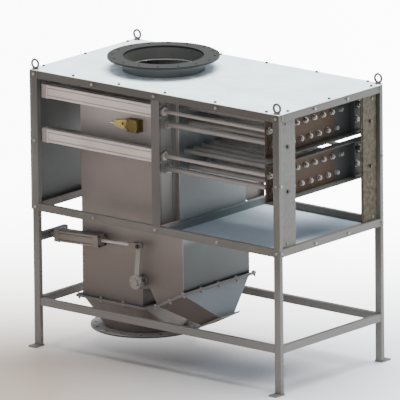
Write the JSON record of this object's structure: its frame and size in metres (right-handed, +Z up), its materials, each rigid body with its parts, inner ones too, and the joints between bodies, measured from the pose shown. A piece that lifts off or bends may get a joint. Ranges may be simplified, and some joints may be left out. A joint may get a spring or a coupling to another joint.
{
  "type": "dry magnetic separator",
  "caption": "Gravity-fed magnetic separator: frame with duct, round inlet, sliding drawers of magnet cores, diverter flap, product hopper and side reject chute.",
  "frame": {"origin": "middle of the footprint on the floor, at the bottom of the bounding box", "axes": "+Z up; +X along the frame towards the drawn-out drawers; -Y is the front with the flap actuator"},
  "size_m": [1.619, 0.908, 1.5],
  "materials": {
    "painted_frame": "satin grey paint",
    "white_cover": "satin pale sheet",
    "dark_flange": "dark grey paint",
    "sheet_steel": "satin sheet steel",
    "bright_steel": "bright ground steel",
    "cylinder_alloy": "satin anodised",
    "gold_brass": "satin gold"
  },
  "bodies": {
    "machine": {"front_legs": "painted_frame", "back_legs": "painted_frame", "foot_plates": "painted_frame", "lower_long_rails": "painted_frame", "lower_end_rails": "painted_frame", "middle_long_rails": "painted_frame", "middle_end_rails": "painted_frame", "middle_cross_rail": "painted_frame", "top_long_rails": "painted_frame", "top_end_rails": "painted_frame", "top_cover": "white_cover", "left_end_panel": "painted_frame", "right_end_strips": "painted_frame", "bay_floor": "painted_frame", "front_divider": "painted_frame", "back_divider": "painted_frame", "guide_bushes": "bright_steel", "inlet_collar": "dark_flange", "inlet_flange": "dark_flange", "lifting_eyes": "bright_steel", "duct_front_wall": "sheet_steel", "duct_back_wall": "sheet_steel", "duct_left_wall": "sheet_steel", "duct_right_wall": "sheet_steel", "duct_saddle": "sheet_steel", "duct_rims": "painted_frame", "hopper_rim": "painted_frame", "chute_rim": "painted_frame", "upper_core_tubes": "bright_steel", "lower_core_tubes": "bright_steel", "product_hopper": "sheet_steel", "outlet_flange": "painted_frame", "reject_chute": "sheet_steel", "reject_flange": "painted_frame", "front_upper_cylinder": "cylinder_alloy", "front_lower_cylinder": "cylinder_alloy", "back_upper_cylinder": "cylinder_alloy", "back_lower_cylinder": "cylinder_alloy", "vibrator": "gold_brass", "flap_bearings": "painted_frame", "actuator_bracket": "dark_flange"},
    "upper_drawer": {"upper_tray": "bright_steel", "upper_cores": "bright_steel", "upper_piston_rods": "bright_steel", "upper_guide_rods": "bright_steel"},
    "lower_drawer": {"lower_tray": "bright_steel", "lower_cores": "bright_steel", "lower_piston_rods": "bright_steel", "lower_guide_rods": "bright_steel"},
    "flap": {"flap_blade": "sheet_steel", "flap_shaft": "bright_steel", "flap_lever": "painted_frame"},
    "actuator": {"actuator_barrel": "cylinder_alloy"},
    "actuator_ram": {"actuator_rod": "bright_steel"}
  },
  "joints": [
    {"name": "upper_drawer_slide", "type": "slide", "parent": "machine", "child": "upper_drawer", "axis": [1, 0, 0], "range_m": [-0.6365, 0]},
    {"name": "lower_drawer_slide", "type": "slide", "parent": "machine", "child": "lower_drawer", "axis": [1, 0, 0], "range_m": [-0.6365, 0]},
    {"name": "flap_turn", "type": "hinge", "parent": "machine", "child": "flap", "pos_m": [-0.2065, 0, 0.401], "axis": [0, 1, 0], "range_deg": [-67, 0]},
    {"name": "actuator_swing", "type": "hinge", "parent": "machine", "child": "actuator", "pos_m": [-0.7385, -0.308, 0.566], "axis": [0, 1, 0], "range_deg": [0, 14.2]},
    {"name": "actuator_stroke", "type": "slide", "parent": "actuator", "child": "actuator_ram", "axis": [0.999, 0, 0.0436], "range_m": [-0.185, 0]}
  ],
  "couplings": [
    {"joint": "actuator_swing", "follows": "flap_turn", "ratio": -0.20768},
    {"joint": "actuator_stroke", "follows": "flap_turn", "m_per_rad": 0.1528}
  ]
}
